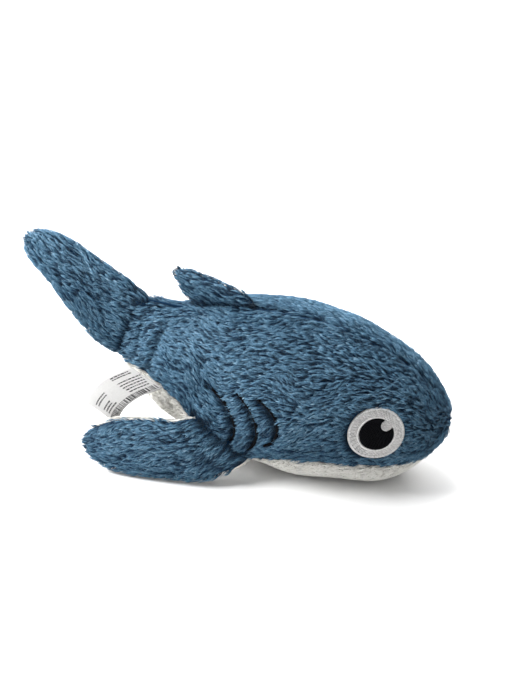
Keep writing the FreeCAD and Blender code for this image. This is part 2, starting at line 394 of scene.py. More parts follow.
def triangle_mesh(name, points, faces, tones):
    """A smooth triangle mesh with one tone per point."""
    mesh = bpy.data.meshes.new(name)
    mesh.vertices.add(len(points))
    mesh.vertices.foreach_set("co", (points * MM).astype(np.float32).ravel())
    mesh.loops.add(len(faces) * 3)
    mesh.loops.foreach_set("vertex_index", faces.astype(np.int32).ravel())
    mesh.polygons.add(len(faces))
    mesh.polygons.foreach_set("loop_start", np.arange(0, len(faces) * 3, 3, dtype=np.int32))
    mesh.polygons.foreach_set("use_smooth", np.ones(len(faces), bool))
    mesh.update(calc_edges=True)
    attribute = mesh.attributes.new("tone", "FLOAT", "POINT")
    attribute.data.foreach_set("value", tones.astype(np.float32))
    piece = bpy.data.objects.new(name, mesh)
    bpy.context.scene.collection.objects.link(piece)
    return piece


# Materials


def material(name, ramp, roughness, source="tone", scale=400.0, sheen=0.0, mottle=0.25, shine=0.25):
    """A finish whose colour runs along a ramp, from a point's tone and a fine mottling."""
    made = bpy.data.materials.new(name)
    made.use_nodes = True
    nodes = made.node_tree.nodes
    links = made.node_tree.links
    shader = nodes["Principled BSDF"]
    shader.inputs["Roughness"].default_value = roughness
    shader.inputs["Sheen Weight"].default_value = sheen
    shader.inputs["Sheen Roughness"].default_value = 0.5
    shader.inputs["Sheen Tint"].default_value = (*ramp[-1][1], 1)
    shader.inputs["Specular IOR Level"].default_value = shine
    ramp_node = nodes.new("ShaderNodeValToRGB")
    elements = ramp_node.color_ramp.elements
    elements[0].position, elements[0].color = ramp[0][0], (*ramp[0][1], 1)
    elements[1].position, elements[1].color = ramp[-1][0], (*ramp[-1][1], 1)
    for place, colour in ramp[1:-1]:
        elements.new(place).color = (*colour, 1)
    coordinates = nodes.new("ShaderNodeTexCoord")
    texture = nodes.new("ShaderNodeTexNoise")
    texture.inputs["Scale"].default_value = scale
    texture.inputs["Detail"].default_value = 3.0
    links.new(coordinates.outputs["Object"], texture.inputs["Vector"])
    mix = nodes.new("ShaderNodeMix")
    mix.inputs["Factor"].default_value = mottle
    links.new(texture.outputs["Fac"], mix.inputs["B"])
    if source:
        tone = nodes.new("ShaderNodeAttribute")
        tone.attribute_name = source
        links.new(tone.outputs["Fac"], mix.inputs["A"])
    else:
        mix.inputs["A"].default_value = 0.5
    links.new(mix.outputs["Result"], ramp_node.inputs["Fac"])
    links.new(ramp_node.outputs["Color"], shader.inputs["Base Color"])
    return made


# Locks of pile


def scatter(grid, count):
    """Random places on a grid: points, normals, the direction along its rows, and their columns."""
    normals, along = grid_normals(grid)
    rows, columns = grid.shape[:2]
    right = np.roll(grid, -1, axis=1)
    area = np.linalg.norm(np.cross(grid[1:] - grid[:-1], right[:-1] - grid[:-1]), axis=-1).ravel()
    chosen = random.choice(len(area), size=count, p=area / area.sum())
    i, j = np.divmod(chosen, columns)
    u = random.random(count)[:, None]
    v = random.random(count)[:, None]
    k = (j + 1) % columns

    def between(values):
        low = values[i, j] * (1 - v) + values[i, k] * v
        high = values[i + 1, j] * (1 - v) + values[i + 1, k] * v
        return low * (1 - u) + high * u

    normal = unit(between(normals))
    direction = between(along)
    direction = unit(direction - (direction * normal).sum(-1, keepdims=True) * normal)
    return between(grid), normal, direction, j + v[:, 0]


def unit(vectors):
    """The vectors at length one."""
    return vectors / (np.linalg.norm(vectors, axis=-1, keepdims=True) + 1e-9)


def grid_area(grid):
    """The grid's area in square millimetres."""
    right = np.roll(grid, -1, axis=1)
    return np.linalg.norm(np.cross(grid[1:] - grid[:-1], right[:-1] - grid[:-1]), axis=-1).sum()


def combed(points, normals, flow, sway, seed):
    """Comb directions: the flow turned by slow and quick noise about the surface normal."""
    flow = unit(flow - (flow * normals).sum(-1, keepdims=True) * normals)
    slow = noise_at(points, 26.0, seed)[:, 0]
    quick = noise_at(points, 7.5, seed + 3)[:, 1]
    angle = sway * (1.5 * slow + 1.3 * quick) + random.normal(0, 0.09, len(points))
    side = np.cross(normals, flow)
    return flow * np.cos(angle)[:, None] + side * np.sin(angle)[:, None]


def locks(points, normals, comb, length, height, spread, seed, strands, steps=5, tone=(0.1, 0.68)):
    """Paths, ups, widths and tones of the strands in a lock at each point."""
    pull = np.maximum(seam_pull(points), joint_pull(points))
    count = len(points)
    t = np.linspace(0, 1, steps)
    side = np.cross(normals, comb)
    reach = length * random.uniform(0.75, 1.15, count)
    curl = random.normal(0, 0.13, count)
    wave = random.uniform(0, 2 * math.pi, count)
    rise = height * random.uniform(0.85, 1.08, count) * (1 - 0.5 * pull)
    lift = (1 - (1 - t) ** 2.4) * (1 - 0.16 * t**3)
    # Each lock's tone varies at random and in slow patches, and is made darker near seams, gills and limb joints:
    # painted shade in those creases.
    lock_tone_and_seam_shade = random.normal(0, 0.07, count) + noise_at(points, 30.0, seed)[:, 2] * 0.1 - 0.5 * pull
    parts = [[], [], [], []]
    for _ in range(strands):
        root = random.normal(0, 1, (count, 2)) * spread
        stray = random.normal(0, 0.045, (count, 2))
        own = random.uniform(0.8, 1.1, count)
        gather = (1 - 0.72 * t**1.3)[None]
        forward = (reach * own)[:, None] * (0.14 * t + 0.86 * t**1.3)[None] + root[:, :1] * gather
        sweep = np.sin(wave[:, None] + 5.2 * t[None]) - np.sin(wave)[:, None]
        across = reach[:, None] * ((curl[:, None] + stray[:, :1]) * t[None] ** 2) + 0.085 * reach[:, None] * sweep
        across += root[:, 1:] * gather
        up = rise[:, None] * lift[None] * (1 + 2 * stray[:, 1:])
        path = points[:, None] + comb[:, None] * forward[..., None]
        path += side[:, None] * across[..., None] + normals[:, None] * up[..., None]
        width = STRAND_WIDTH * random.uniform(0.8, 1.25, count)[:, None] * (1.0 - 0.7 * t**1.8)[None]
        # Each strand's colour runs from dark at the root to light at the tip: painted shade in the gaps between
        # locks and painted light on their tips, with a random tone per strand on top.
        tones = tone[0] + tone[1] * t[None] + lock_tone_and_seam_shade[:, None] + random.normal(0, 0.05, count)[:, None]
        for part, values in zip(parts, (path, normals, width, np.clip(tones, 0, 1))):
            part.append(values)
    return [np.concatenate(part) for part in parts]


def keep(strands, chosen):
    """Only the chosen strands."""
    return [part[chosen] for part in strands]


def pile(points, normals, comb, length, height, seed):
    """Combed locks over part of the points, and single lower hairs between them over the rest, coloured darker as
    painted shading in the gaps.
    """
    split = int(len(points) * UNDERCOAT_AREA / (UNDERCOAT_AREA + LOCK_AREA))
    tall, low = slice(0, split), slice(split, None)
    spread = np.array([1.2, 0.27])
    reach = np.broadcast_to(length, len(points))
    places = [(points[part], normals[part], comb[part], reach[part]) for part in (tall, low)]
    top = locks(*places[0], height, spread, seed, STRANDS_PER_LOCK)
    # The single hairs take the ramp's dark end: painted shade between the locks.
    under = locks(*places[1], height * 0.7, 0.3, seed, 1, 4, (0.06, 0.42))
    return top, under


def pile_count(grid):
    """How many locks and single hairs a grid carries."""
    return int(grid_area(grid) * (1 / LOCK_AREA + 1 / UNDERCOAT_AREA))


def trimmed(strands, covered):
    """Strands cut short before they cross a place, and left out where they are rooted in it."""
    paths, ups, widths, tones = strands
    hit = covered(paths.reshape(-1, 3)).reshape(paths.shape[:2])
    steps = paths.shape[1]
    first = np.where(hit.any(1), hit.argmax(1), steps)
    share = np.clip((first - 0.6) / (steps - 1), 0, 1)
    position = np.linspace(0, 1, steps)[None] * share[:, None] * (steps - 1)
    i = np.minimum(position.astype(int), steps - 2)
    f = (position - i)[..., None]
    row = np.arange(len(paths))[:, None]
    shortened = paths[row, i] * (1 - f) + paths[row, i + 1] * f
    new_paths = np.where((share < 1)[:, None, None], shortened, paths)
    return keep([new_paths, ups, widths, tones], share > 0.3)


def tree_of(grid):
    """A search tree of a closed-round grid's surface."""
    rows, columns = grid.shape[:2]
    return BVHTree.FromPolygons(grid.reshape(-1, 3).tolist(), quads(rows, columns, True))


def outside(points, grid, tree, margin):
    """Whether each point is further out of a grid's surface than the margin."""
    centre = grid.mean(axis=1)
    found = np.ones(len(points), bool)
    for n, point in enumerate(points):
        place, normal, _, distance = tree.find_nearest(point, 40.0)
        if place is None:
            continue
        axis = centre[np.abs(centre - place).sum(1).argmin()]
        facing = math.copysign(1.0, normal.dot(place - Vector(axis)))
        found[n] = (Vector(point) - place).dot(normal) * facing > margin
    return found


# The embroidery's places


def eye_frame(side):
    """Centre, normal, forward and upward directions of an eye on the rolled toy."""
    normal = np.array(
        [
            math.sin(EYE_TURN) * math.cos(EYE_RISE),
            -math.cos(EYE_TURN) * math.cos(EYE_RISE),
            math.sin(EYE_RISE),
        ]
    )
    forward = np.array([math.cos(EYE_TURN), math.sin(EYE_TURN), 0.0])
    upward = np.cross(normal, forward)
    upward *= math.copysign(1.0, upward[2])
    flip = np.array([1.0, -side, 1.0])
    origin = roll(EYE_CENTRE * flip)
    ends = [roll((EYE_CENTRE + d) * flip) - origin for d in (normal, forward, upward)]
    return origin, *ends


def in_eye(points, radius):
    """Whether each point lies within that radius of an eye's axis."""
    found = np.zeros(len(points), bool)
    for side in (-1, 1):
        origin, normal, forward, upward = eye_frame(side)
        offset = points - origin
        near = np.hypot(offset @ forward, offset @ upward) < radius
        found |= near & (np.abs(offset @ normal) < 15.0)
    return found


def gill_line(gill, count):
    """Points in the upright toy's side view along the arc through three places."""
    (ax, az), (bx, bz), (cx, cz) = gill
    matrix = np.array([[bx - ax, bz - az], [cx - bx, cz - bz]])
    values = np.array([(bx**2 - ax**2 + bz**2 - az**2) / 2, (cx**2 - bx**2 + cz**2 - bz**2) / 2])
    centre = np.linalg.solve(matrix, values)
    radius = math.hypot(ax - centre[0], az - centre[1])
    first = math.atan2(az - centre[1], ax - centre[0])
    last = math.atan2(cz - centre[1], cx - centre[0])
    turn = np.linspace(first, last, count)
    return centre[0] + radius * np.cos(turn), centre[1] + radius * np.sin(turn)


GILL_LINES = [np.stack(gill_line(gill, 60), axis=-1) for gill in GILLS]


def near_gill(points, distance):
    """Whether each point lies that close to a gill stitch, seen from the side."""
    upright = unroll(points)
    found = np.zeros(len(points), bool)
    low = np.abs(upright[:, 1]) > 14.0
    for line in GILL_LINES:
        inside = low & (upright[:, 0] > line[:, 0].min() - 4) & (upright[:, 0] < line[:, 0].max() + 4)
        where = np.nonzero(inside)[0]
        if len(where):
            gap = np.linalg.norm(upright[where][:, None, [0, 2]] - line[None], axis=-1).min(1)
            found[where] |= gap < distance
    return found


# Build the padded skins


def line_gap(places, line):
    """Distance of flat places from a line of points."""
    starts, ends = line[:-1], line[1:]
    along = ends - starts
    offset = places[..., None, :] - starts
    share = np.clip((offset * along).sum(-1) / (along**2).sum(-1), 0, 1)
    return np.linalg.norm(offset - share[..., None] * along, axis=-1).min(-1)


def joint_pull(points):
    """The same flattening and painted shading where a limb's pile meets the body's: both distances small at once.
    """
    gaps = [surface_gap(points, tree) for tree in LIMB_TREES]
    near_limb = np.min(gaps, axis=0)
    near_body = surface_gap(points, body_tree)
    return np.exp(-(((near_limb + near_body) / 3.0) ** 2))


def surface_gap(points, tree):
    """Distance of each point from a surface, up to 9."""
    found = (tree.find_nearest(point, 9.0)[3] for point in points)
    return np.array([9.0 if gap is None else gap for gap in found])


def seam_pull(points):
    """How strongly a seam flattens the pile and darkens it as painted shading, at each leaning point, from 0 to 1.
    """
    upright = unroll(points)
    on_back = (upright[:, 2] > 60.0) & (upright[:, 2] < DORSAL_ROOT) & (upright[:, 0] > -104.0)
    back = np.where(on_back, np.abs(upright[:, 1]), 99.0)
    belly = np.abs(upright[:, 2] - seam_height(upright[:, 0])) + np.where(upright[:, 0] < -95.0, 99.0, 0.0)
    gaps = (back / 1.3, belly / 1.6, gill_gap(upright) / 1.1)
    return np.max([np.exp(-(gap**2)) for gap in gaps], axis=0)


def label_points():
    """Middle line, across direction and normals of the care label."""
    line = LABEL_ROOT + smooth_rows(LABEL_PATH, np.linspace(0, 1, 25))
    across = LABEL_ACROSS / np.linalg.norm(LABEL_ACROSS)
    normals = unit(np.cross(np.gradient(line, axis=0), across))
    if (normals @ np.array([0.0, -1.0, 1.0])).sum() < 0:
        normals = -normals
    return line, across, normals


def seam_turns(count):
    """For each body ring, the angle at which the right side's belly seam crosses it."""
    rings = smooth_rows(BODY_RINGS, even_places(BODY_RINGS, count))
    fine = np.linspace(180.0, 262.0, 330)
    points = ring_points(rings, np.radians(fine)[None], 0.0)
    above = points[..., 2] > seam_height(points[..., 0])
    return np.where(above.all(1), 262.0, fine[np.argmin(above, axis=1)])


def gill_gap(upright):
    """Distance of upright points from the nearest gill line, seen from the side."""
    gaps = [np.linalg.norm(upright[..., None, [0, 2]] - line, axis=-1).min(-1) for line in GILL_LINES]
    return np.where(np.abs(upright[..., 1]) > 14.0, np.min(gaps, axis=0), 99.0)


def eye_gap(upright):
    """Distance of upright points from the eye's edge, seen along the eye's axis."""
    points = roll(upright)
    gap = np.full(upright.shape[:2], 99.0)
    for side in (-1, 1):
        origin, normal, forward, upward = eye_frame(side)
        offset = points - origin
        radius = np.hypot(offset @ forward, offset @ upward)
        gap = np.where(np.abs(offset @ normal) < 15.0, np.minimum(gap, np.abs(radius - EYE_RADIUS - 0.8)), gap)
    return gap


def overhang_gap(upright):
    """Distance of upright points from the middle of the puff above the right fin's seam."""
    points = roll(upright)
    gap = line_gap(points[..., [0, 2]], OVERHANG)
    return np.where(points[..., 1] < -18.0, gap, 99.0)


def tail_fold(upright, start, end):
    """Distance from a soft fold across the toy's right side."""
    start, end = np.array(start), np.array(end)
    length = np.linalg.norm(end - start)
    direction = (end - start) / length
    offset = upright[..., [0, 2]] - start
    along = np.clip(offset @ direction, 0, length)
    gap = np.linalg.norm(offset - along[..., None] * direction, axis=-1)
    return np.where(upright[..., 1] < 4.0, gap, 99.0)


ROWS = 116
SIDE_COLUMNS = 52
BELLY_COLUMNS = 28
seam = seam_turns(ROWS)
body_turns = sector_turns(
    [np.full(ROWS, 90.0), seam, 540.0 - seam, np.full(ROWS, 450.0)],
    [SIDE_COLUMNS, BELLY_COLUMNS, SIDE_COLUMNS],
)
limb_turns = sector_turns([90.0, 270.0, 450.0], [36, 36])
tail_turns = limb_turns + TAIL_SEAM_ROLL
dorsal_turns = sector_turns([180.0, 360.0, 540.0], [24, 24])


def body_surface(depth, lump, seed=1, grooves=True, reach=0.985):
    """The body's grid at a depth, with the lumps of its filling and the pull of its seams."""
    nose = 2.2 * np.clip((np.arange(ROWS) / ROWS - 0.72) / 0.28, 0, 1)[:, None]
    grid = ring_grid(BODY_RINGS, ROWS, body_turns, depth + nose, reach=reach)
    belly = np.abs(grid[..., 2] - seam_height(grid[..., 0]))
    marks = [
        (tail_fold(grid, (-78.0, 97.0), (-92.0, 66.0)), 2.4, 3.4),
        (tail_fold(grid, (-92.0, 102.0), (-99.0, 74.0)), 1.6, 2.6),
        (overhang_gap(grid), -5.0, 9.5),
        (np.linalg.norm(grid[..., [0, 2]] - SADDLE, axis=-1), 3.0, 9.0),
    ]
    if grooves:
        back = np.where(grid[..., 2] > 60, np.abs(grid[..., 1]), 99.0)
        marks += [
            (back, 1.1, 2.4),
            (belly, 0.9, 2.2),
            (gill_gap(grid), 1.1, 1.6),
            (eye_gap(grid), 0.8, 2.6),
        ]
    grid = roll(stuffed(grid, marks, lump, seed=seed))
    grid[..., 2] = np.maximum(grid[..., 2], 0.6)
    return grid


skin_depth = np.full(SIDE_COLUMNS * 2 + BELLY_COLUMNS, SIDE_DEPTH)
skin_depth[SIDE_COLUMNS + 1 : SIDE_COLUMNS + BELLY_COLUMNS] = BELLY_DEPTH
limb_depth = np.full(72, LIMB_DEPTH)
limb_depth[37:72] = BELLY_DEPTH
body_grid = body_surface(skin_depth, 0.8)
stuffing_grid = body_surface(6.4, 0.5, 31, False, 0.92)[5:]
tail_grid = roll(stuffed(ring_grid(TAIL_RINGS, 60, tail_turns, LIMB_DEPTH + 0.5), [], 0.6, seed=5))
tail_filling = roll(ring_grid(TAIL_RINGS, 30, tail_turns, 4.4, 0.2, 0.94))
fin_grid = stuffed(ring_grid(FIN_RINGS, 60, limb_turns, limb_depth), [], 0.5, seed=8)
fin_filling = ring_grid(FIN_RINGS, 30, limb_turns, 4.4, 0.2, 0.94)
dorsal_grid = roll(slice_grid(DORSAL_SLICES, DORSAL_ROOT, 30, dorsal_turns, 1.9))
dorsal_filling = roll(slice_grid(DORSAL_SLICES, DORSAL_ROOT, 16, dorsal_turns, 3.2, 0.2, 0.85))


def to_left(points):
    """The right fin's points on the left, splayed out about the sewn edge."""
    axis = np.array([math.sin(FIN_ROOT_TILT), 0.0, math.cos(FIN_ROOT_TILT)])
    splayed = turn_about(points, np.array(FIN_ROOT), axis, LEFT_FIN_SPLAY)
    upright = unroll(splayed)
    upright[..., 1] *= -1
    return roll(upright)


def colour(red, green, blue):
    """A linear colour from an everyday one, each part from 0 to 255."""
    parts = [c / 255.0 for c in (red, green, blue)]
    return tuple(((c + 0.055) / 1.055) ** 2.4 if c > 0.04 else c / 12.92 for c in parts)


# Blue pile colours: strand roots and the single hairs take the dark end, painted shade; strand tips take the light
# end, painted light.
BLUE = [
    (0.0, colour(4, 13, 25)),
    (0.3, colour(25, 52, 77)),
    (0.65, colour(86, 125, 151)),
    (1.0, colour(164, 197, 218)),
]
WHITE = [
    (0.0, colour(168, 166, 160)),
    (0.5, colour(214, 212, 206)),
    (1.0, colour(238, 237, 232)),
]
GREY = [(0.0, colour(120, 120, 122)), (0.6, colour(204, 203, 202)), (1.0, colour(236, 235, 234))]
BLACK = [(0.0, colour(1, 2, 4)), (1.0, colour(8, 9, 14))]
blue_pile = material("blue_pile", BLUE, 0.6, sheen=0.25, mottle=0.12, shine=0.12)
# The cloth under the blue pile takes the ramp's darkest colours: painted shade where it shows between strands.
blue_skin = material("blue_skin", BLUE[:2], 0.9, source=None, scale=900.0, mottle=0.8, shine=0.1)
white_pile = material("white_pile", WHITE, 0.75, sheen=0.3, mottle=0.12)
white_skin = material("white_skin", WHITE[1:], 0.9, source=None, scale=900.0, mottle=0.6)
white_thread = material("white_thread", GREY, 0.42, scale=1500.0, mottle=0.25)
# The eye patch under the white stitches is a darker grey: painted shade in the gaps between stitch rows.
eye_underlay_shade = material("eye_underlay_painted_shade", GREY[:2], 0.6, source=None, scale=1500.0, mottle=0.5)
black_thread = material("black_thread", BLACK, 0.7, scale=1500.0, mottle=0.25, shine=0.08)
filling = material("filling", WHITE, 0.95, source=None, scale=300.0, sheen=0.3, mottle=0.9)
# The label's satin is coloured grey, darker than the white label: painted shade.
satin = material("satin", [(0.0, colour(146, 146, 145)), (1.0, colour(182, 181, 180))], 0.38, source=None, scale=1200.0, sheen=0.2, mottle=0.6)
print_ink = material("print_ink", [(0.0, colour(8, 8, 9)), (1.0, colour(34, 34, 36))], 0.6, source=None)

BENDS = {
    "tail": ((-103.0, 0.0, 84.0), (-121.0, 0.0, 97.0)),
    "dorsal_fin": ((-47.0, 0.0, 109.0), (-50.0, 0.0, 117.0)),
    "pectoral_fin_right": ((-39.0, -35.5, 29.5), (-60.0, -42.5, 23.5)),
}


def attach(piece, made, body, slot, *nodes):
    """The piece's material and the parts it stands for, which it hides; slot is not used, and the ends of its bend
    are looked up but no joint is made.
    """
    piece.data.materials.append(made)
    if body in ("root", "care_label"):
        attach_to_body(piece, body)
    else:
        start, end = BENDS[body.replace("left", "right")]
        if body == "pectoral_fin_left":
            start, end = to_left(np.array([start, end]))
        elif body != "pectoral_fin_right":
            start, end = roll(np.array([start, end]))
        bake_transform(piece)
    if nodes:
        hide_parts(*nodes)
    return piece


def sewn(name, grid, first, count, made, body, slot, node):
    """A padded panel that stands for one node."""
    piece = attach(panel(name, grid, first, count), made, body, slot, node)


def skins_and_filling():
    """Every sewn panel, and the fibre inside."""
    sewn("right_side_cloth", body_grid, 0, SIDE_COLUMNS, blue_skin, "root", "blue_pile", "right_side_panel")
    sewn("belly_cloth", body_grid, SIDE_COLUMNS, BELLY_COLUMNS, white_skin, "root", "white_pile", "belly_panel")
    start = SIDE_COLUMNS + BELLY_COLUMNS
    sewn("left_side_cloth", body_grid, start, SIDE_COLUMNS, blue_skin, "root", "blue_pile", "left_side_panel")
    attach(blob("body_filling", stuffing_grid), filling, "root", "fibre_fill", "body_stuffing")
    sewn("tail_cloth_right", tail_grid, 0, 36, blue_skin, "tail", "blue_pile", "tail_panel_right")
    sewn("tail_cloth_left", tail_grid, 36, 36, blue_skin, "tail", "blue_pile", "tail_panel_left")
    attach(blob("tail_filling", tail_filling), filling, "tail", "fibre_fill", "tail_stuffing")
    name = "dorsal_fin"
    sewn(name + "_cloth_right", dorsal_grid, 0, 24, blue_skin, name, "blue_pile", name + "_panel_right")
    sewn(name + "_cloth_left", dorsal_grid, 24, 24, blue_skin, name, "blue_pile", name + "_panel_left")
    attach(blob(name + "_filling", dorsal_filling), filling, name, "fibre_fill", name + "_stuffing")
    for side, place in (("right", lambda points: points), ("left", to_left)):
        name = "pectoral_fin_" + side
        grid = place(fin_grid)
        sewn(name + "_outer_cloth", grid, 0, 36, blue_skin, name, "blue_pile", name + "_outer_panel")
        sewn(name + "_under_cloth", grid, 36, 36, white_skin, name, "white_pile", name + "_under_panel")
        attach(blob(name + "_filling", place(fin_filling)), filling, name, "fibre_fill", name + "_stuffing")


# Comb the pile


def shave(strands):
    """Strands kept off the eyes and the gills, and above the floor."""
    strands = trimmed(strands, lambda p: in_eye(p, EYE_RADIUS) | near_gill(p, GILL_WIDTH * 0.44))
    strands[0][..., 2] = np.maximum(strands[0][..., 2], 0.15)
    return strands


def near_back(upright):
    """How close each upright point is to the back seam, from 0 to 1, and the side it is on."""
    close = np.exp(-((upright[:, 1] / 9.0) ** 2)) * (upright[:, 2] > 60)
    return close, np.sign(upright[:, 1])


def is_white(upright):
    """Whether upright points of the body lie on its white belly."""
    return (upright[:, 2] < seam_height(upright[:, 0])) & (upright[:, 0] < 87.0)


def body_strands():
    """All the body's strands, for each of its three panels."""
    points, normals, along, _ = scatter(body_grid, pile_count(body_grid))
    upright = unroll(points)
    white = is_white(upright)
    close, side = near_back(upright)
    flow = -along + np.array([0.0, 0.0, -0.2]) + (close * side * 0.3)[:, None] * np.array([0.0, 1.0, 0.0])
    comb = combed(points, normals, flow, 0.42, 2)
    result = []
    for mask, seed in ((~white & (upright[:, 1] < 0), 11), (~white & (upright[:, 1] >= 0), 12)):
        result.append([shave(coat) for coat in pile(points[mask], normals[mask], comb[mask], LONG_PILE, 3.7, seed)])
    points, normals, along, _ = scatter(body_grid, int(grid_area(body_grid) / WHITE_LOCK_AREA))
    white = is_white(unroll(points))
    points, normals = points[white], normals[white]
    comb = combed(points, normals, -along[white], 0.3, 3)
    fuzz = locks(points, normals, comb, SHORT_PILE, BELLY_DEPTH - 0.4, 0.6, 13, 5, 4, (0.66, 0.24))
    result.append([shave(fuzz)])
    return result


def fur_pieces(name, coats, made, body, slot, limit=9000):
    """Fur meshes from each coat's strands, split along the toy so that none is too heavy."""
    for layer, strands in zip(("top", "under"), coats):
        order = np.argsort(strands[0][:, 0, 0])
        parts = max(1, math.ceil(len(order) / limit))
        for number, chosen in enumerate(np.array_split(order, parts)):
            piece = fibres(f"{name}_{layer}_{number + 1}", *keep(strands, chosen))
            attach(piece, made, body, slot)


def limb_pile(name, grid, body, seed, split=None, height=2.8, length=5.8, pull_back=0.0, clear=1.2):
    """The pile over a limb, combed to its tip, with its second sector white if it is split."""
    points, normals, along, column = scatter(grid, pile_count(grid))
    free = outside(points, body_grid, body_tree, clear)
    rear = np.exp(-np.maximum(body_height(points), 0) / 6.0)[:, None] * pull_back
    comb = combed(points, normals, along + rear * np.array([-1.0, 0.0, 0.0]), 0.36, seed)
    blue = free if split is None else free & (column < split)
    near_tip = np.linalg.norm(points - grid[-1].mean(axis=0), axis=-1)
    reach = length * (0.45 + 0.55 * np.clip((near_tip - 3.0) / 9.0, 0, 1))
    coats = pile(points[blue], normals[blue], comb[blue], reach[blue], height, seed)
    for coat in coats:
        coat[0][..., 2] = np.maximum(coat[0][..., 2], 0.15)
    fur_pieces(name + "_pile", coats, blue_pile, body, "blue_pile")
    if split is None:
        return
    points, normals, along, column = scatter(grid, int(grid_area(grid) / WHITE_LOCK_AREA))
    pale = outside(points, body_grid, body_tree, 0.2) & (column > split + 1.5) & (column < 2 * split - 1.5)
    comb = combed(points[pale], normals[pale], along[pale], 0.3, seed)
    fuzz = locks(points[pale], normals[pale], comb, SHORT_PILE, 1.3, 0.6, seed, 5, 4, (0.66, 0.24))
    fuzz[0][..., 2] = np.maximum(fuzz[0][..., 2], 0.15)
    fur_pieces(name + "_white_pile", [fuzz], white_pile, body, "white_pile")


def body_height(points):
    """Distance of leaning points above the dorsal fin's foot."""
    return unroll(points)[..., 2] - DORSAL_ROOT


left_fin_grid = to_left(fin_grid)
body_tree = tree_of(body_grid)
LIMB_TREES = [tree_of(grid) for grid in (fin_grid, left_fin_grid)]
skins_and_filling()
right_fur, left_fur, belly_fur = body_strands()
fur_pieces("right_side_pile", right_fur, blue_pile, "root", "blue_pile")
fur_pieces("left_side_pile", left_fur, blue_pile, "root", "blue_pile")
fur_pieces("belly_pile", belly_fur, white_pile, "root", "white_pile", 12000)
limb_pile("tail", tail_grid, "tail", 21)
limb_pile("pectoral_fin_right", fin_grid, "pectoral_fin_right", 31, 36)
limb_pile("pectoral_fin_left", left_fin_grid, "pectoral_fin_left", 32, 36)
limb_pile("dorsal_fin", dorsal_grid, "dorsal_fin", 41, None, 2.4, 5.8, 1.4, 0.0)

# Embroidery


def stitch_paths(starts, ends, ups, sink=0.5, rise=0.3, steps=6):
    """Arched thread paths between two rows of points, both ends going into the cloth."""
    t = np.linspace(0, 1, steps)[None, :, None]
    arch = rise - (rise + sink) * (2 * t - 1) ** 6
    return starts[:, None] * (1 - t) + ends[:, None] * t + ups[:, None] * arch


def stitches(name, starts, ends, ups, made, body="root", slot="white_embroidery", thread=THREAD):
    """One piece of many separate stitches."""
    paths = stitch_paths(starts, ends, ups)
    widths = np.full(paths.shape[:2], thread) * random.uniform(0.9, 1.1, (len(paths), 1))
    tones = np.clip(0.7 + random.normal(0, 0.14, (len(paths), 1)) + np.zeros(paths.shape[:2]), 0, 1)
    # Both ends of every stitch are darker where the thread dives into the cloth: painted shade.
    tones[:, [0, -1]] -= 0.5
    piece = fibres(name, paths, ups, widths, tones, 0.42)
    return attach(piece, made, body, slot)


def dropped(tree, points, direction):
    """Points moved along a direction onto a surface, and its outward normals there."""
    places, normals = [], []
    toward = Vector(direction)
    for point in points:
        hit, normal, _, _ = tree.ray_cast(Vector(point) - toward * 60.0, toward)
        places.append(hit if hit is not None else point)
        normals.append(-toward if normal is None else normal * math.copysign(1.0, -normal.dot(toward)))
    return np.array(places), np.array(normals)


def fill_rows(inside, pitch, segment, angle, radius):
    """Ends of the running stitches that fill a flat shape, in rows at an angle."""
    rows = np.arange(-radius, radius, pitch)
    fine = np.arange(-radius, radius, 0.08)
    starts, ends = [], []
    turn = np.array([[math.cos(angle), -math.sin(angle)], [math.sin(angle), math.cos(angle)]])
    for number, row in enumerate(rows):
        places = np.stack([fine, np.full(len(fine), row)], axis=-1) @ turn.T
        within = inside(places)
        change = np.nonzero(np.diff(np.concatenate([[0], within.astype(int), [0]])))[0]
        for low, high in change.reshape(-1, 2):
            cuts = fine[low] + np.arange(-1, 30) * segment + (number % 3) * segment / 3.0
            cuts = cuts[(cuts > fine[low] + 0.5) & (cuts < fine[high - 1] - 0.5)]
            cuts = np.concatenate([[fine[low]], cuts, [fine[high - 1]]])
            for a, b in zip(cuts[:-1], cuts[1:]):
                starts.append(np.array([a, row]) @ turn.T)
                ends.append(np.array([b, row]) @ turn.T)
    return np.array(starts), np.array(ends)


def rim_rows(centre, radius, first, last, width, pitch):
    """Ends of the short stitches across a round rim, in the eye's own plane."""
    count = int(abs(last - first) * radius / pitch)
    turn = np.linspace(first, last, count, endpoint=False)
    outward = np.stack([np.cos(turn), np.sin(turn)], axis=-1)
    slant = 0.25 * np.stack([-np.sin(turn), np.cos(turn)], axis=-1)
    middle = np.array(centre) + outward * radius
    return middle - (outward + slant) * width / 2, middle + (outward + slant) * width / 2


def in_pupil(places, grow=0.0):
    """Whether flat places lie in the pupil, outside its highlight."""
    spot = np.hypot(places[:, 0] - HIGHLIGHT_OFFSET[0], places[:, 1] - HIGHLIGHT_OFFSET[1])
    return (np.hypot(*places.T) < PUPIL_RADIUS + grow) & (spot > HIGHLIGHT_RADIUS - grow)


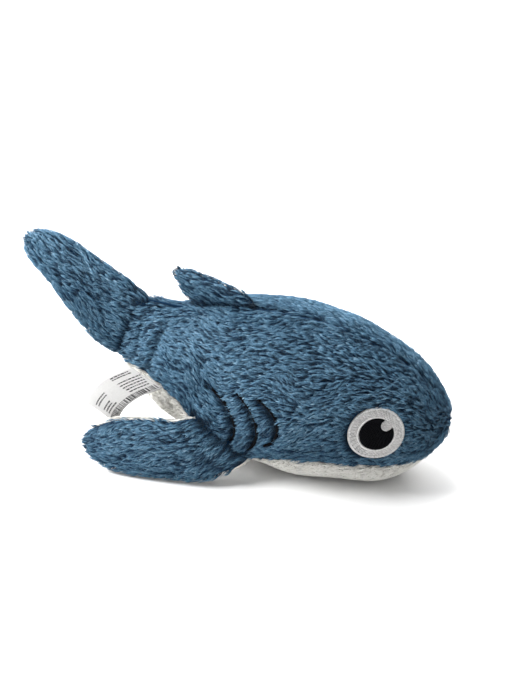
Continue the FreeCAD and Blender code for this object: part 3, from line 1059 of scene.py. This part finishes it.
def eye(word, side, tree):
    """One embroidered eye."""
    origin, normal, forward, upward = eye_frame(side)

    def sew(name, flat, made, lift, slot):
        ends = []
        for part in flat:
            places = origin + part[:, :1] * forward + part[:, 1:] * upward
            found, ups = dropped(tree, places, -normal)
            ends.append(found + ups * lift)
        stitches(f"{name}_{word}", ends[0], ends[1], ups, made, slot=slot)

    def white(places):
        return (np.hypot(*places.T) < EYE_RADIUS - 0.5) & ~in_pupil(places, 0.4)

    def black(places):
        return in_pupil(places, -0.2)

    sew("eye_white_fill", fill_rows(white, 0.64, 2.7, -0.85, EYE_RADIUS), white_thread, 0.0, "white_embroidery")
    rim = rim_rows((0, 0), EYE_RADIUS - 0.5, 0, 2 * math.pi, 1.7, 0.55)
    sew("eye_white_rim", rim, white_thread, 0.1, "white_embroidery")
    sew("eye_pupil_fill", fill_rows(black, 0.46, 2.7, 0.5, PUPIL_RADIUS), black_thread, 1.0, "black_embroidery")
    far = math.atan2(HIGHLIGHT_OFFSET[1], HIGHLIGHT_OFFSET[0])
    gap = 0.42
    ring = rim_rows((0, 0), PUPIL_RADIUS + 0.9, far + gap, far + 2 * math.pi - gap, 1.1, 0.36)
    spot = rim_rows(HIGHLIGHT_OFFSET, HIGHLIGHT_RADIUS - 0.6, far + 2.2, far + 2 * math.pi - 2.2, 1.1, 0.36)
    both = [np.concatenate(parts) for parts in zip(ring, spot)]
    sew("eye_inner_rim", both, white_thread, 0.15, "white_embroidery")


def gill(word, flip, tree, number, line):
    """The satin stitches across one gill line."""
    steps = np.linalg.norm(np.diff(line, axis=0), axis=1)
    distance = np.concatenate([[0], np.cumsum(steps)])
    count = int(distance[-1] / 0.34)
    along = np.linspace(0, distance[-1], count)
    middle = np.stack([np.interp(along, distance, line[:, k]) for k in (0, 1)], axis=-1)
    tangent = unit(np.gradient(middle, axis=0))
    across = np.stack([tangent[:, 1], -tangent[:, 0]], axis=-1) + 0.35 * tangent
    taper = np.clip(np.minimum(along, distance[-1] - along) / 4.0, 0.35, 1.0)
    reach = GILL_WIDTH * 0.4 * taper * random.uniform(0.85, 1.15, count)
    ends = []
    for sign in (-1, 1):
        flat = middle + sign * across * reach[:, None]
        places = roll(np.stack([flat[:, 0], 40.0 * flip + 0 * flat[:, 0], flat[:, 1]], axis=-1))
        toward = roll(np.array([0.0, -flip, 0.0])) - roll(np.zeros(3))
        found, ups = dropped(tree, places, toward)
        ends.append(found)
    stitches(f"gill_{word}_{number + 1}", *ends, ups, black_thread, slot="black_embroidery")


def embroidery():
    """Both eyes and all six gills."""
    eye_tree = tree_of(roll(ring_grid(BODY_RINGS, ROWS, body_turns, 2.4)))
    gill_tree = tree_of(roll(ring_grid(BODY_RINGS, ROWS, body_turns, 1.3)))
    for word, flip in (("right", -1), ("left", 1)):
        eye(word, -flip, eye_tree)
        for number, line in enumerate(GILL_LINES):
            gill(word, flip, gill_tree, number, line)


def repaint(made, *nodes):
    """A better finish on parts whose shape is already right."""
    for node in nodes:
        for slot in bpy.data.objects[node].material_slots:
            slot.material = made


embroidery()
# The eye patches take the darker grey, painted shade between the stitches.
repaint(eye_underlay_shade, "eye_white_right", "eye_white_left")
repaint(black_thread, "eye_pupil_right", "eye_pupil_left", "gill_stitches_right", "gill_stitches_left")
repaint(blue_skin, "back_seam_thread", "belly_seam_thread_right", "belly_seam_thread_left")

# The care label


def label_surface(curl, lift):
    """A ply's upper surface and its normals, cupped a little across its width."""
    line, across, normals = label_points()
    s = np.linspace(-1, 1, 13)[None, :, None]
    t = np.linspace(0, 1, len(line))[:, None, None]
    grid = line[:, None] + across * s * LABEL_WIDTH / 2
    grid = grid + normals[:, None] * (lift - curl * t**2 - 0.9 * s**2 * t + 0.35 * np.sin(3.1 * s + 5.0 * t) * t)
    slope = unit(np.cross(np.gradient(grid, axis=0), np.gradient(grid, axis=1)))
    if (slope * normals[:, None]).sum() < 0:
        slope = -slope
    return grid, slope


def print_marks(grid, normals):
    """Plain printed rows and stripes that say nothing, as thin closed marks on the label."""
    rows, columns = grid.shape[:2]

    def at(values, t, s):
        i, j = np.clip(t, 0, 0.999) * (rows - 1), np.clip(s, 0, 0.999) * (columns - 1)
        a, b, f, g = int(i), int(j), i % 1, j % 1
        low = values[a, b] * (1 - g) + values[a, b + 1] * g
        high = values[a + 1, b] * (1 - g) + values[a + 1, b + 1] * g
        return low * (1 - f) + high * f

    points, faces = [], []

    def mark(t0, t1, s0, s1):
        start = len(points)
        for level in (0.02, 0.1):
            for t, s in ((t0, s0), (t1, s0), (t1, s1), (t0, s1)):
                points.append(at(grid, t, s) + at(normals, t, s) * level)
        corners = ((0, 1, 2, 3), (4, 5, 6, 7), (0, 1, 5, 4), (1, 2, 6, 5), (2, 3, 7, 6), (3, 0, 4, 7))
        faces.extend([start + c for c in face] for face in corners)

    place = 0.03
    while place < 0.93:
        width = random.choice([0.008, 0.014, 0.022])
        mark(place, place + width, 0.80, 0.955)
        place += width + random.choice([0.007, 0.012, 0.02])
    for start, end, levels in ((0.02, 0.36, (0.1, 0.17, 0.34, 0.43, 0.52, 0.61, 0.7)), (0.56, 0.86, (0.3, 0.38, 0.55, 0.63, 0.71))):
        for level in levels:
            place = start + random.uniform(0, 0.08)
            while place < end:
                width = random.uniform(0.014, 0.05)
                mark(place, min(place + width, end), level, level + 0.034)
                place += width + 0.012
    return points, faces


def care_label():
    """Both plies of the label and its marks."""
    line, _, _ = label_points()
    front, normals = label_surface(0.0, 0.5)
    back, back_normals = label_surface(1.6, -0.4)
    for name, grid, slope, node in (
        ("label_front_ply", front, normals, "care_label_front"),
        ("label_back_ply", back, back_normals, "care_label_back"),
    ):
        ply = attach(sheet_of(name, grid, slope, LABEL_PLY), satin, "care_label", "label_satin", node)
    marks = sealed_mesh("label_marks", *print_marks(front, normals))
    attach(marks, print_ink, "care_label", "label_satin")


care_label()

# Room, lights and camera


def area_light(name, place, aim, energy, size):
    """A soft rectangular light that faces a point."""
    lamp = bpy.data.lights.new(name, "AREA")
    lamp.energy = energy
    lamp.size = size
    holder = bpy.data.objects.new(name, lamp)
    holder.location = place
    holder.rotation_euler = (Vector(aim) - Vector(place)).to_track_quat("-Z", "Y").to_euler()
    bpy.context.scene.collection.objects.link(holder)


def room():
    """A plain pale floor and soft light from above and behind the tail."""
    bpy.ops.mesh.primitive_plane_add(size=6.0, location=(0, 0, 0))
    floor = bpy.context.object
    floor.name = "floor"
    paint = bpy.data.materials.new("floor_paint")
    paint.use_nodes = True
    shader = paint.node_tree.nodes["Principled BSDF"]
    shader.inputs["Base Color"].default_value = (0.9, 0.9, 0.9, 1)
    shader.inputs["Roughness"].default_value = 0.9
    floor.data.materials.append(paint)
    world = bpy.data.worlds.new("studio")
    bpy.context.scene.world = world
    world.use_nodes = True
    background = world.node_tree.nodes["Background"]
    background.inputs["Color"].default_value = (1.0, 1.0, 1.0, 1)
    background.inputs["Strength"].default_value = 0.5
    area_light("key", (-0.5, -0.18, 0.5), (-0.04, 0, 0.07), 9.5, 0.4)
    area_light("top", (-0.15, 0.2, 0.75), (-0.03, 0, 0.08), 4.5, 0.4)
    area_light("fill", (0.4, -1.0, 0.7), (0, 0, 0.05), 1.0, 0.9)
    area_light("backdrop", (0.0, 1.6, 1.3), (0.0, 1.7, 0.0), 60.0, 2.2)


def camera():
    """A long-lens view from ahead of the right side, looking down a little."""
    turn = math.radians(15.0)
    rise = math.radians(25.0)
    distance = 0.75
    target = Vector((-0.024, 0.0, 0.076))
    toward = Vector((math.sin(turn) * math.cos(rise), -math.cos(turn) * math.cos(rise), math.sin(rise)))
    lens = bpy.data.cameras.new("camera")
    lens.sensor_width = 36.0
    lens.sensor_fit = "HORIZONTAL"
    lens.lens = 82.95
    holder = bpy.data.objects.new("camera", lens)
    holder.location = target + toward * distance
    holder.rotation_euler = toward.to_track_quat("Z", "Y").to_euler()
    bpy.context.scene.collection.objects.link(holder)
    bpy.context.scene.camera = holder


room()
camera()
bpy.context.scene.view_settings.view_transform = "Standard"
